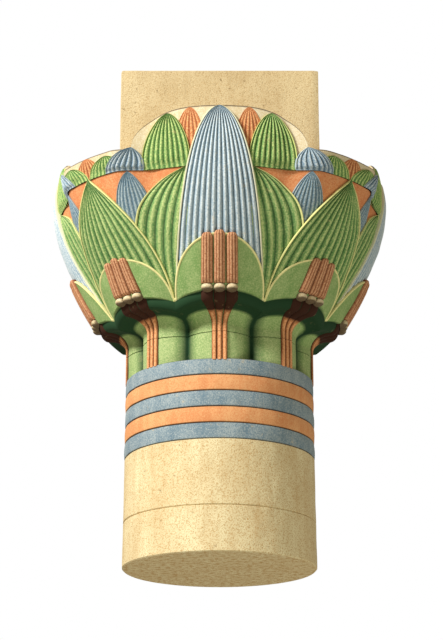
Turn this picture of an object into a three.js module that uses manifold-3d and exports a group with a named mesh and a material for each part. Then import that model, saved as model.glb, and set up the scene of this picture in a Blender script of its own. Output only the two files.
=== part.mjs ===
// A painted sandstone column capital of the Egyptian composite kind, with the top of its column shaft.
// Eight great papyrus plants are bound round the neck by five bands: four blue ones face the sides of
// the abacus and four green ones face its corners. Each has a round stem, a bulging calyx with three
// red buds on thin stems, and a ribbed umbel. Sepals and small umbels in two tiers fill the gaps.
// The work is four blocks, bedded on each other: a plain drum, a banded drum, the bell and the abacus.
// Millimetres, +Z up. The origin is the centre of the lower bed, and -Y is the front face.

import * as THREE from "three";
import { mergeVertices } from "three/addons/utils/BufferGeometryUtils.js";
import Module from "manifold-3d";

// Clearance of the bed between two blocks
const BED_GAP = 0.3;

// The shaft, how much wider it is at the foot, and the height of its drum joint
const SHAFT_TOP_RADIUS = 666;
const SHAFT_TAPER = 12;
const DRUM_JOINT_HEIGHT = 317;

// The bands, each a flat fillet with a groove above and below
const BANDS_FOOT_HEIGHT = 773;
const BAND_COUNT = 5;
const BAND_HEIGHT = 113;
const BAND_GROOVE_DEPTH = 10;
const BAND_GROOVE_WIDTH = 18;

// The bound stems of the neck, and the bed joint that crosses them
const NECK_HEIGHT = 302;
const NECK_JOINT_HEIGHT = 194;
const STEM_ROUND = 246;
const STEM_SETBACK = 8;
const THIN_STEM_PITCH = 38;
const THIN_STEM_PROUD = 14;

// The calyxes that overhang the neck, and their buds, which stand on knobs
const LIP_RADIUS = 856;
const LIP_NOTCH_DEPTH = 52;
const LIP_THICKNESS = 80;
const FACE_CALYX_HEIGHT = 383;
const CORNER_CALYX_HEIGHT = 300;
const FACE_ARCH_DROP = 120;
const CALYX_PROUD = 50;
const BUD_PITCH = 85;
const BUD_WIDTH = 82;
const BUD_PROUD = 32;
const KNOB_WIDTH = 62;

// The bell: its foot behind the calyxes, its widest radius, and how far the rim draws in again.
// Its corners flare out further than its faces, as four broad lobes.
const BELL_FOOT_RADIUS = 786;
const BELL_RADIUS = 1180;
const RIM_TUCK = 30;
const CORNER_FLARE = 130;

// Heights of the bell above the lip of the calyxes
const TIER_HEIGHT = 832;
const CORNER_RIM_HEIGHT = 980;
const WIDEST_HEIGHT = 1020;
const FACE_RIM_HEIGHT = 1285;
const SIDE_RIM_HEIGHT = 1175;

// The umbels and sepals: how far they stand out of the bell at their middle and at their edges
const GREAT_PROUD = 54;
const GREAT_EDGE_PROUD = 36;
const SEPAL_PROUD = 22;
const SMALL_PROUD = 30;
const RIB_DEPTH = 13;
const FACE_UMBEL_WIDTH = 600;

// The abacus and the bed that it stands on
const ABACUS_SIDE = 1412;
const ABACUS_HEIGHT = 622;
const ABACUS_BED_HEIGHT = 1138;
const SEAT_MARGIN = 12;
const LEDGE_WIDTH = 40;
const LEDGE_DEPTH = 15;

// Heights above the lower bed
const Z_BANDS_TOP = BANDS_FOOT_HEIGHT + BAND_COUNT * BAND_HEIGHT;
const Z_NECK_JOINT = Z_BANDS_TOP + NECK_JOINT_HEIGHT;
const Z_NECK_TOP = Z_BANDS_TOP + NECK_HEIGHT;
const Z_LIP = Z_NECK_TOP + LIP_THICKNESS;
const Z_TIER = Z_LIP + TIER_HEIGHT;
const Z_WIDEST = Z_LIP + WIDEST_HEIGHT;
const Z_CORNER_RIM = Z_LIP + CORNER_RIM_HEIGHT;
const Z_FACE_RIM = Z_LIP + FACE_RIM_HEIGHT;
const Z_SIDE_RIM = Z_LIP + SIDE_RIM_HEIGHT;
const Z_BED = Z_LIP + ABACUS_BED_HEIGHT;

// Shares and angles of the carving
const PLANTS = 8;
const PLANT_HALF_ANGLE = 180 / PLANTS;
const LOBE_FOOT_ANGLE = 22;
const LOBE_TOP_ANGLE = 35;
const FACE_ARCH_HALF_ANGLE = 28.9;
const FACE_ARCH_POWER = 3.6;
const BELL_POWER = 1.85;
const FLARE_POWER = 1.5;
const TIP_SPREAD = 0.35;

// The grid of the facets
const STONE_COLUMNS = 36;
const BURIED = 45;
const CARVING_TOLERANCE = 6;

const wasm = await Module();
wasm.setup();

const radians = THREE.MathUtils.degToRad;
const clamp01 = (x) => THREE.MathUtils.clamp(x, 0, 1);
const mix = THREE.MathUtils.lerp;

// A point at an angle from the front, in degrees, positive towards +X
function polar(angle, radius, z) {
  const a = radians(angle);
  return [radius * Math.sin(a), -radius * Math.cos(a), z];
}

// Angle from the nearest face centre, 0 to 45 degrees
function fromFace(angle) {
  const turned = THREE.MathUtils.euclideanModulo(angle + 45, 90) - 45;
  return Math.abs(turned);
}

// Radius of the plain bell: it flares by a power curve to its widest, then draws in to the rim
function bellRadius(z) {
  if (z <= Z_WIDEST) {
    const below = clamp01((Z_WIDEST - z) / (Z_WIDEST - Z_LIP));
    return BELL_RADIUS - (BELL_RADIUS - BELL_FOOT_RADIUS) * below ** BELL_POWER;
  }
  const above = (z - Z_WIDEST) / (Z_FACE_RIM - Z_WIDEST);
  return BELL_RADIUS - RIM_TUCK * above ** 2;
}

// The bell with its four corner lobes, which flare more the higher they are
function ground(angle, z) {
  const lobe = THREE.MathUtils.smoothstep(fromFace(angle), LOBE_FOOT_ANGLE, LOBE_TOP_ANGLE);
  const flare = clamp01((z - Z_LIP) / (Z_CORNER_RIM - Z_LIP)) ** FLARE_POWER;
  return bellRadius(z) + CORNER_FLARE * lobe * flare;
}

// Top of the rim's arch over the nearest face: the side faces have lower arches than front and back
function archTop(angle) {
  return Math.abs(Math.sin(radians(angle))) > Math.SQRT1_2 ? Z_SIDE_RIM : Z_FACE_RIM;
}

// The rim is level over the corners and rises in an arch over each face
function rimHeight(angle) {
  const share = Math.min(1, fromFace(angle) / FACE_ARCH_HALF_ANGLE);
  return Z_CORNER_RIM + (archTop(angle) - Z_CORNER_RIM) * Math.sqrt(1 - share ** FACE_ARCH_POWER);
}

// A closed mesh as a solid that can be joined and cut
function solid(geometry) {
  const bare = geometry.index ? geometry.toNonIndexed() : geometry.clone();
  bare.deleteAttribute("normal");
  bare.deleteAttribute("uv");
  const merged = mergeVertices(bare, 1e-3);
  const position = merged.attributes.position.array;
  const made = (triVerts) =>
    new wasm.Manifold(new wasm.Mesh({ numProp: 3, vertProperties: position, triVerts }));
  const faces = Uint32Array.from(merged.index.array);
  const first = made(faces);
  return first.volume() > 0 ? first : made(faces.reverse());
}

function geometryOf(points, faces) {
  const geometry = new THREE.BufferGeometry();
  geometry.setAttribute("position", new THREE.Float32BufferAttribute(points.flat(), 3));
  geometry.setIndex(faces);
  return geometry;
}

// A closed slab between an outer and an inner skin, each a function of u and v from 0 to 1
function slab(across, along, outer, inner) {
  const points = [];
  const at = (side, i, j) => (side * (along + 1) + j) * (across + 1) + i;
  for (const skin of [outer, inner])
    for (let j = 0; j <= along; j++)
      for (let i = 0; i <= across; i++) points.push(skin(i / across, j / along));
  const faces = [];
  const quad = (a, b, c, d) => faces.push(a, b, c, a, c, d);
  for (let j = 0; j < along; j++)
    for (let i = 0; i < across; i++) {
      quad(at(0, i, j), at(0, i + 1, j), at(0, i + 1, j + 1), at(0, i, j + 1));
      quad(at(1, i, j), at(1, i, j + 1), at(1, i + 1, j + 1), at(1, i + 1, j));
    }
  for (let i = 0; i < across; i++) {
    quad(at(0, i + 1, 0), at(0, i, 0), at(1, i, 0), at(1, i + 1, 0));
    quad(at(0, i, along), at(0, i + 1, along), at(1, i + 1, along), at(1, i, along));
  }
  for (let j = 0; j < along; j++) {
    quad(at(0, 0, j), at(0, 0, j + 1), at(1, 0, j + 1), at(1, 0, j));
    quad(at(0, across, j + 1), at(0, across, j), at(1, across, j), at(1, across, j + 1));
  }
  return solid(geometryOf(points, faces));
}

// A closed solid of rings of points about the axis, one above another, with both ends capped
function ringed(rings, bottomZ, topZ) {
  const count = rings[0].length;
  const points = rings.flat();
  const low = points.push([0, 0, bottomZ]) - 1;
  const high = points.push([0, 0, topZ]) - 1;
  const faces = [];
  for (let i = 0; i < count; i++) {
    const next = (i + 1) % count;
    faces.push(low, next, i);
    for (let j = 0; j + 1 < rings.length; j++) {
      const here = j * count;
      const above = here + count;
      faces.push(here + i, here + next, above + next, here + i, above + next, above + i);
    }
    const last = (rings.length - 1) * count;
    faces.push(high, last + i, last + next);
  }
  return solid(geometryOf(points, faces));
}

const joined = (solids) => solids.reduce((sum, each) => sum.add(each));

// A ring on the round shaft, sunk by the depth of a groove
function shaftRing(z, depth) {
  const radius = SHAFT_TOP_RADIUS + SHAFT_TAPER * (1 - z / Z_BANDS_TOP) - depth;
  return Array.from({ length: STONE_COLUMNS }, (_, i) => polar((360 * i) / STONE_COLUMNS, radius, z));
}

// The lower drum: plain shaft, cut off flat below
function lowerDrum() {
  const top = DRUM_JOINT_HEIGHT - BED_GAP;
  return ringed([shaftRing(0, 0), shaftRing(top, 0)], 0, top);
}

// The section of the neck: eight round stems bound side by side, at an angle from a stem's middle
function stemRadius(angle) {
  const centre = SHAFT_TOP_RADIUS - STEM_SETBACK - STEM_ROUND;
  const a = radians(angle);
  return centre * Math.cos(a) + Math.sqrt(STEM_ROUND ** 2 - (centre * Math.sin(a)) ** 2);
}

// The lines that run up a plant: its junction with the next plant, its flank, and the edges and
// fronts of its three thin stems, which the buds continue. A line is a share of the half angle, or
// a place among the buds: the bud's index, the side of its middle, and whether it stands proud.
const PLANT_LINES = [
  { share: -1 },
  { share: -0.7 },
  { index: -1, side: -1, proud: 0 },
  { index: -1, side: -0.5, proud: 1 },
  { index: -1, side: 0.5, proud: 1 },
  { index: -0.5, side: 0, proud: 0 },
  { index: 0, side: -0.5, proud: 1 },
  { index: 0, side: 0.5, proud: 1 },
  { index: 0.5, side: 0, proud: 0 },
  { index: 1, side: -0.5, proud: 1 },
  { index: 1, side: 0.5, proud: 1 },
  { index: 1, side: 1, proud: 0 },
  { share: 0.7 },
];

// The eight plants: those of the faces have taller calyxes than those of the corners, with arched
// edges that run down behind their neighbours
const ALL_PLANTS = Array.from({ length: PLANTS }, (_, k) => ({
  turn: (360 * k) / PLANTS,
  calyxHeight: k % 2 ? CORNER_CALYX_HEIGHT : FACE_CALYX_HEIGHT,
  archDrop: k % 2 ? 0 : FACE_ARCH_DROP,
}));

// A ring of points on all the plants. The base is a radius at an angle from the plant's middle.
function plantRing({ height, base, pitch, width, proud }) {
  return ALL_PLANTS.flatMap((plant) =>
    PLANT_LINES.map((line) => {
      const across = line.index * pitch + (line.side * width) / 2;
      const angle = "share" in line
        ? line.share * PLANT_HALF_ANGLE
        : THREE.MathUtils.radToDeg(across / base(0, plant));
      const radius = base(angle, plant) + (line.proud ?? 0) * proud;
      return polar(plant.turn + angle, radius, height(angle, plant));
    }),
  );
}

const neckRing = (z) =>
  plantRing({
    height: () => z,
    base: stemRadius,
    pitch: THIN_STEM_PITCH,
    width: THIN_STEM_PITCH,
    proud: THIN_STEM_PROUD,
  });

// The banded drum: plain shaft, five fillets and the foot of the stems
function bandedDrum() {
  const half = BAND_GROOVE_WIDTH / 2;
  const profile = [[DRUM_JOINT_HEIGHT, 0], [BANDS_FOOT_HEIGHT - half, 0]];
  for (let i = 0; i < BAND_COUNT; i++) {
    const z = BANDS_FOOT_HEIGHT + i * BAND_HEIGHT;
    profile.push([z, BAND_GROOVE_DEPTH], [z + half, 0], [z + BAND_HEIGHT - half, 0]);
  }
  profile.push([Z_BANDS_TOP, BAND_GROOVE_DEPTH]);
  const rings = profile.map(([z, depth]) => shaftRing(z, depth));
  const shaft = ringed(rings, DRUM_JOINT_HEIGHT, Z_BANDS_TOP);
  const foot = Z_BANDS_TOP - BURIED;
  const top = Z_NECK_JOINT - BED_GAP;
  return shaft.add(ringed([neckRing(foot), neckRing(top)], foot, top));
}

// The bell's own stone: the flaring ground, the arched rim, and the bed for the abacus, which
// stands up from a ledge behind the rim
function bellStone() {
  const foot = FACE_ARCH_HALF_ANGLE;
  const eighth = [0, 12, 19, 24, foot - 1.8, foot - 0.6, foot + 0.1, 33, 38, 45];
  const quarter = [...eighth, ...eighth.slice(1, -1).reverse().map((angle) => 90 - angle)];
  const angles = [0, 90, 180, 270].flatMap((turn) => quarter.map((angle) => angle + turn));
  const level = (z) => angles.map((angle) => polar(angle, ground(angle, z), z));
  const upper = (share) =>
    angles.map((angle) => {
      const z = mix(Z_TIER, rimHeight(angle), share);
      return polar(angle, ground(angle, z), z);
    });
  const seatRadius = (angle) =>
    (ABACUS_SIDE / 2 + SEAT_MARGIN) / Math.cos(radians(fromFace(angle)));
  const seat = angles.map((angle) => polar(angle, seatRadius(angle), Z_BED));
  const ledge = angles.map((angle) =>
    polar(angle, seatRadius(angle) + LEDGE_WIDTH, Math.min(rimHeight(angle), Z_BED) - LEDGE_DEPTH),
  );
  const bottom = Z_LIP - LIP_THICKNESS / 2;
  const rings = [
    angles.map((angle) => polar(angle, BELL_FOOT_RADIUS - 2 * BURIED, bottom)),
    ...[0, 0.3, 0.65, 1].map((share) => level(mix(Z_LIP, Z_TIER, share))),
    ...[0.5, 1].map(upper),
    ledge,
    seat,
  ];
  return ringed(rings, bottom, Z_BED);
}

// An umbel or sepal: a domed slab with ribs, laid on the bell between two heights. Its centre and
// half its spread are angles at a share t of its height, whose rows crowd towards the tip. Its proud
// height falls from crown to edge and towards the tip.
function leaf({ centre, spread, foot, tip, edge, crown, rows, columns, ribbed = false, ramp = () => 1 }) {
  const skin = (u, v) => {
    const s = 2 * u - 1;
    const t = v * (2 - v);
    const valley = ribbed && Math.round(u * columns) % 2 === 0;
    const z = mix(foot, tip, t);
    const dome = mix(crown, edge, s * s) * ramp(t) * (1 - 0.5 * t ** 8);
    const proud = dome - (valley ? RIB_DEPTH * (1 - t ** 4) : 0);
    return { angle: centre(t) + s * spread(t), z, proud };
  };
  const on = ({ angle, z }, proud) => polar(angle, ground(angle, z) + proud, z);
  const outer = (u, v) => on(skin(u, v), skin(u, v).proud);
  const inner = (u, v) => on(skin(u, v), -BURIED);
  return slab(columns, rows, outer, inner);
}

// The great umbels rise from behind their calyxes
const greatRamp = (t) => 0.5 + 0.5 * THREE.MathUtils.smoothstep(t, 0.15, 0.7);

// The great blue umbel of a face: a tall half ellipse from the calyx to the top of the rim
function facePlant(face) {
  const spread = (t) => {
    const half = (FACE_UMBEL_WIDTH / 2) * Math.sqrt(1 - t ** 1.75);
    return TIP_SPREAD + THREE.MathUtils.radToDeg(half / bellRadius(mix(Z_LIP, archTop(face), t)));
  };
  return leaf({
    centre: () => face,
    spread,
    foot: Z_LIP,
    tip: archTop(face) - 4,
    edge: GREAT_EDGE_PROUD,
    crown: GREAT_PROUD,
    rows: 4,
    columns: 26,
    ribbed: true,
    ramp: greatRamp,
  });
}

// The great green umbel of a corner: it narrows to a point at the tier
function cornerPlant(corner) {
  return leaf({
    centre: () => corner,
    spread: (t) => TIP_SPREAD + PLANT_HALF_ANGLE * (1 - t ** 1.75),
    foot: Z_LIP,
    tip: Z_TIER - 4,
    edge: GREAT_EDGE_PROUD,
    crown: GREAT_PROUD,
    rows: 3,
    columns: 22,
    ribbed: true,
    ramp: greatRamp,
  });
}

// The green sepals that stand out from behind the blue umbel, one on each side
function sepal(face, side) {
  return leaf({
    centre: (t) => face + side * (PLANT_HALF_ANGLE - 10.8 * t * t),
    spread: (t) => TIP_SPREAD + 12.5 * (1 - t ** 7.5),
    foot: Z_LIP,
    tip: Z_TIER - 4,
    edge: 0.75 * SEPAL_PROUD,
    crown: SEPAL_PROUD,
    rows: 4,
    columns: 8,
    ribbed: true,
  });
}

// A small umbel: a pointed arch that stands on the tier, or shows between greater ones below it.
// It leans from one angle at its foot to another at its tip.
function smallUmbel({ from, to = from, half, foot = Z_TIER, tip, proud, columns }) {
  return leaf({
    centre: (t) => mix(from, to, t),
    spread: (t) => TIP_SPREAD + half * (1 - t * t) ** 0.62,
    foot,
    tip,
    edge: 0.4 * proud,
    crown: proud,
    rows: columns > 2 ? 3 : 2,
    columns,
  });
}

// The small umbels between the middle of a face and the corner beside it: the green one by the blue
// great umbel, a blue one, the corner's green one behind it, and the blue one under the tier
function smallUmbels(face, side) {
  const at = (offset) => face + side * offset;
  const underTier = Z_TIER - 6;
  const overTier = (share) => mix(Z_TIER, Z_CORNER_RIM, share);
  return [
    smallUmbel({ from: at(18), half: 7, tip: rimHeight(at(18)) - 30, proud: SMALL_PROUD, columns: 4 }),
    smallUmbel({
      from: at(31.8), to: at(28.7), half: 5.8, tip: overTier(1), proud: 1.2 * SMALL_PROUD, columns: 4,
    }),
    smallUmbel({
      from: at(38.2), to: at(37.1), half: 6.5, tip: overTier(0.77), proud: 0.7 * SMALL_PROUD, columns: 2,
    }),
    smallUmbel({
      from: at(30.2), half: 5.8, foot: Z_TIER - 0.36 * TIER_HEIGHT, tip: underTier,
      proud: 0.45 * SMALL_PROUD, columns: 2,
    }),
  ];
}

// The face of a calyx: a bulging cup that overhangs its stem, with an arched upper edge
function calyxFace(angle, z, { calyxHeight }) {
  const share = (angle / PLANT_HALF_ANGLE) ** 2;
  const up = clamp01((z - Z_LIP) / calyxHeight);
  const edge = LIP_RADIUS - BELL_FOOT_RADIUS - LIP_NOTCH_DEPTH;
  const centre = mix(LIP_RADIUS - BELL_FOOT_RADIUS, CALYX_PROUD, up);
  return bellRadius(z) + mix(centre, edge, share);
}

// The height of the arched edge over the lip
function archRise(angle, { calyxHeight, archDrop }) {
  const arc = Math.sqrt(Math.max(0, 1 - (angle / PLANT_HALF_ANGLE) ** 2));
  return Math.max(0.04 * calyxHeight, (calyxHeight + archDrop) * arc - archDrop);
}

// A ring on the faces of the calyxes, at a share of the height of their arched edge
function calyxRing(share, width, proud, setback = 0) {
  const height = (angle, plant) => Z_LIP + share * archRise(angle, plant);
  return plantRing({
    height,
    base: (angle, plant) => calyxFace(angle, height(angle, plant), plant) - setback,
    pitch: BUD_PITCH,
    width,
    proud,
  });
}

// The necks of the eight plants, their calyxes and buds
function plants() {
  const shoulder = (angle, plant) => calyxFace(angle, Z_LIP, plant) - 0.3 * LIP_THICKNESS;
  const underLip = plantRing({
    height: () => Z_NECK_TOP + 0.2 * LIP_THICKNESS,
    base: shoulder,
    pitch: mix(THIN_STEM_PITCH, BUD_PITCH, 0.8),
    width: THIN_STEM_PITCH,
    proud: 0.6 * THIN_STEM_PROUD,
  });
  const rings = [
    neckRing(Z_NECK_JOINT),
    neckRing(Z_NECK_TOP),
    underLip,
    calyxRing(-0.1, THIN_STEM_PITCH, 0.3 * KNOB_WIDTH),
    calyxRing(0.02, KNOB_WIDTH, 0.5 * KNOB_WIDTH),
    calyxRing(0.12, 0.6 * KNOB_WIDTH, 0.4 * BUD_PROUD),
    calyxRing(0.16, BUD_WIDTH, BUD_PROUD),
    calyxRing(0.55, BUD_WIDTH, BUD_PROUD),
    calyxRing(0.9, 0.9 * BUD_WIDTH, 0.8 * BUD_PROUD),
    calyxRing(1, 0.6 * BUD_WIDTH, 0),
    calyxRing(1, 0.6 * BUD_WIDTH, 0, 2 * BURIED),
  ];
  return ringed(rings, Z_NECK_JOINT, Z_LIP);
}

function bellBlock() {
  const parts = [bellStone(), plants()];
  for (const face of [0, 90, 180, 270]) {
    parts.push(facePlant(face), cornerPlant(face + 45));
    for (const side of [-1, 1]) parts.push(sepal(face, side), ...smallUmbels(face, side));
  }
  return joined(parts).simplify(CARVING_TOLERANCE);
}

// The abacus: a plain square block on its bed
function abacus() {
  const block = new THREE.BoxGeometry(ABACUS_SIDE, ABACUS_SIDE, ABACUS_HEIGHT);
  block.translate(0, 0, Z_BED + BED_GAP + ABACUS_HEIGHT / 2);
  return solid(block);
}

const sandstone = new THREE.MeshStandardMaterial({ color: 0xe0c48e, roughness: 0.9, metalness: 0 });
const paintedStone = new THREE.MeshStandardMaterial({ color: 0x7fa860, roughness: 0.85, metalness: 0 });
const bandedStone = new THREE.MeshStandardMaterial({ color: 0x8a99ab, roughness: 0.85, metalness: 0 });

function block(name, body, material) {
  const { vertProperties, triVerts } = body.getMesh();
  const geometry = new THREE.BufferGeometry();
  geometry.setAttribute("position", new THREE.BufferAttribute(vertProperties, 3));
  geometry.setIndex(new THREE.BufferAttribute(triVerts, 1));
  geometry.computeVertexNormals();
  const mesh = new THREE.Mesh(geometry, material);
  mesh.name = name;
  return mesh;
}

const capital = new THREE.Group();
capital.add(
  block("lower_drum", lowerDrum(), sandstone),
  block("banded_drum", bandedDrum(), bandedStone),
  block("bell_block", bellBlock(), paintedStone),
  block("abacus", abacus(), sandstone),
);

export default capital;
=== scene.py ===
import math

import bpy
import numpy as np
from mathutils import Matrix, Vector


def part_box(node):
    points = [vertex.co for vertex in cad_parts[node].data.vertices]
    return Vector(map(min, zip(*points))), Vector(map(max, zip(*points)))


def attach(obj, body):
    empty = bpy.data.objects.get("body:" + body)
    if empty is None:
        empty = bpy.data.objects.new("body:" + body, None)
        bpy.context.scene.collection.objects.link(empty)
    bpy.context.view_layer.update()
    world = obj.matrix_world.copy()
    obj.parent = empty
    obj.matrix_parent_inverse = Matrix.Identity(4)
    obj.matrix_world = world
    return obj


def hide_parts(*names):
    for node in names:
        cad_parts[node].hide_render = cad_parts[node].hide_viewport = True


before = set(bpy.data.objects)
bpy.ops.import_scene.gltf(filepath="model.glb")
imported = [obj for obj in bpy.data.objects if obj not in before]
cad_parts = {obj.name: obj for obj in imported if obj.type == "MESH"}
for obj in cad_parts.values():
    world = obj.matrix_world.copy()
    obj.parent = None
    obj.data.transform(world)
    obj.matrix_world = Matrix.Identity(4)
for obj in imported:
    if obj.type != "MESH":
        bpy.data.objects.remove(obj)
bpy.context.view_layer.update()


# The lower drum: the plain top of the column shaft, turned and dressed smooth from one block of
# sandstone. Its lower bed is cut off flat. It meets the next drum in a fine dry joint.
DRUM_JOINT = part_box("lower_drum")[1].z
BANDS_FOOT = 0.773
BAND_HEIGHT = 0.113
BANDS_TOP = BANDS_FOOT + 5 * BAND_HEIGHT
SHAFT_TOP_RADIUS = 0.666
SHAFT_TAPER = 0.012
JOINT_CHAMFER = 0.007
SHAFT_COLUMNS = 256


def colour(red, green, blue):
    """A paint or stone colour from its display values, 0 to 255, as linear red, green and blue."""
    display = np.array([red, green, blue]) / 255
    linear = np.where(display <= 0.04045, display / 12.92, ((display + 0.055) / 1.055) ** 2.4)
    return (*linear.tolist(), 1.0)


def polar(angle, radius, z):
    """Points at an angle from the front in degrees, positive to the right, a radius and a height."""
    a, radius, z = np.broadcast_arrays(np.radians(angle), radius, z)
    return np.stack([radius * np.sin(a), -radius * np.cos(a), z], axis=-1)


def unevenness(points, size, seed):
    """A smooth number from -1 to 1 at each point: the mean of ten sine waves of about that wavelength
    in random directions."""
    draw = np.random.default_rng(seed)
    total = np.zeros(points.shape[:-1])
    for _ in range(10):
        way = draw.normal(size=3)
        way *= 2 * math.pi / (size * draw.uniform(0.6, 1.6) * np.linalg.norm(way))
        total += np.sin(points @ way + draw.uniform(0, 2 * math.pi))
    return np.clip(total / 4.5, -1, 1)


def weathered(points, amount, size, seed=1):
    """Moves points to and from the axis by an uneven amount, as hand dressing and age leave a face."""
    level = points[..., :2]
    away = level / np.maximum(np.linalg.norm(level, axis=-1, keepdims=True), 1e-6)
    moved = points.copy()
    moved[..., :2] += away * (amount * unevenness(points, size, seed))[..., None]
    return moved


def ring_faces(rows, columns, start):
    """The quads of a closed loft of rings, and the triangles that fan to a pole at each end."""
    index = np.arange(rows * columns).reshape(rows, columns) + start
    after = np.roll(index, -1, axis=1)
    quads = np.stack([index[:-1], after[:-1], after[1:], index[1:]], axis=-1).reshape(-1, 4)
    low, high = start + rows * columns, start + rows * columns + 1
    bottom = np.stack([np.full(columns, low), after[0], index[0]], axis=-1)
    top = np.stack([np.full(columns, high), index[-1], after[-1]], axis=-1)
    return quads, np.concatenate([bottom, top])


def stone_piece(name, lofts, material, slot, *nodes, sharp=38):
    """Makes one piece of closed lofts. A loft is its rows of rings of points and its marks, numbers
    from 0 to 1 at each point that tell the paint where flutes and margins are, and where light and
    shade are painted on it."""
    points, quads, triangles = [], [], []
    marks = {mark: [] for mark in lofts[0][1]}
    count = 0
    for rings, loft_marks in lofts:
        rows, columns = rings.shape[:2]
        points += [rings.reshape(-1, 3), np.stack([rings[0].mean(0), rings[-1].mean(0)])]
        for mark, values in marks.items():
            at = np.broadcast_to(loft_marks[mark], (rows, columns))
            values += [at.ravel(), [at[0].mean(), at[-1].mean()]]
        four, three = ring_faces(rows, columns, count)
        quads.append(four)
        triangles.append(three)
        count += rows * columns + 2
    points, quads, triangles = map(np.concatenate, (points, quads, triangles))
    mesh = bpy.data.meshes.new(name)
    mesh.vertices.add(len(points))
    mesh.vertices.foreach_set("co", points.astype(np.float32).ravel())
    sizes = np.concatenate([np.full(len(quads), 4), np.full(len(triangles), 3)])
    corners = np.concatenate([quads.ravel(), triangles.ravel()])
    mesh.loops.add(len(corners))
    mesh.loops.foreach_set("vertex_index", corners.astype(np.int32))
    mesh.polygons.add(len(sizes))
    mesh.polygons.foreach_set("loop_start", (np.cumsum(sizes) - sizes).astype(np.int32))
    mesh.update(calc_edges=True)
    mesh.validate()
    for mark, values in marks.items():
        attribute = mesh.attributes.new(mark, "FLOAT", "POINT")
        attribute.data.foreach_set("value", np.concatenate(values).astype(np.float32))
    mesh.shade_smooth()
    mesh.set_sharp_from_angle(angle=math.radians(sharp))
    mesh.materials.append(material)
    piece = bpy.data.objects.new(name, mesh)
    bpy.context.scene.collection.objects.link(piece)
    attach(piece, "root")
    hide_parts(*nodes)
    return piece


def group_socket(tree, name, direction, kind, value=None):
    """Adds a named socket to a node group."""
    socket = tree.interface.new_socket(name=name, in_out=direction, socket_type=f"NodeSocket{kind}")
    if value is not None:
        socket.default_value = value


def set_input(tree, socket, value):
    """Links an input to another node's output, or gives it a value."""
    if isinstance(value, bpy.types.NodeSocket):
        tree.links.new(value, socket)
    else:
        socket.default_value = value


def node(tree, kind, settings=None, **inputs):
    """Adds a node with its settings, and sets or links its inputs, by name or as i and a number."""
    made = tree.nodes.new(f"ShaderNode{kind}")
    for key, value in (settings or {}).items():
        setattr(made, key, value)
    for key, value in inputs.items():
        name = key.replace("_", " ")
        set_input(tree, made.inputs[int(name[1:]) if name[1:].isdigit() else name], value)
    return made


def maths(tree, operation, a, b=0.0):
    """The result of a Math node."""
    return node(tree, "Math", {"operation": operation}, i0=a, i1=b).outputs[0]


def blended(tree, share, a, b):
    """The colour of a Mix node that goes from a to b as share goes from 0 to 1."""
    return node(tree, "Mix", {"data_type": "RGBA", "clamp_factor": True}, i0=share, i6=a, i7=b).outputs[2]


def stretched(tree, value, low, high, to_low=0.0, to_high=1.0):
    """A number that goes from to_low to to_high while value goes from low to high."""
    return node(
        tree, "MapRange", {"clamp": True},
        Value=value, From_Min=low, From_Max=high, To_Min=to_low, To_Max=to_high,
    ).outputs[0]


def noise(tree, place, scale, detail=3.0, roughness=0.55):
    """A noise from 0 to 1 on the object's own coordinates, with that many features to the metre."""
    made = node(tree, "TexNoise", None, Vector=place, Scale=scale, Detail=detail, Roughness=roughness)
    return made.outputs[0]


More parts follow.
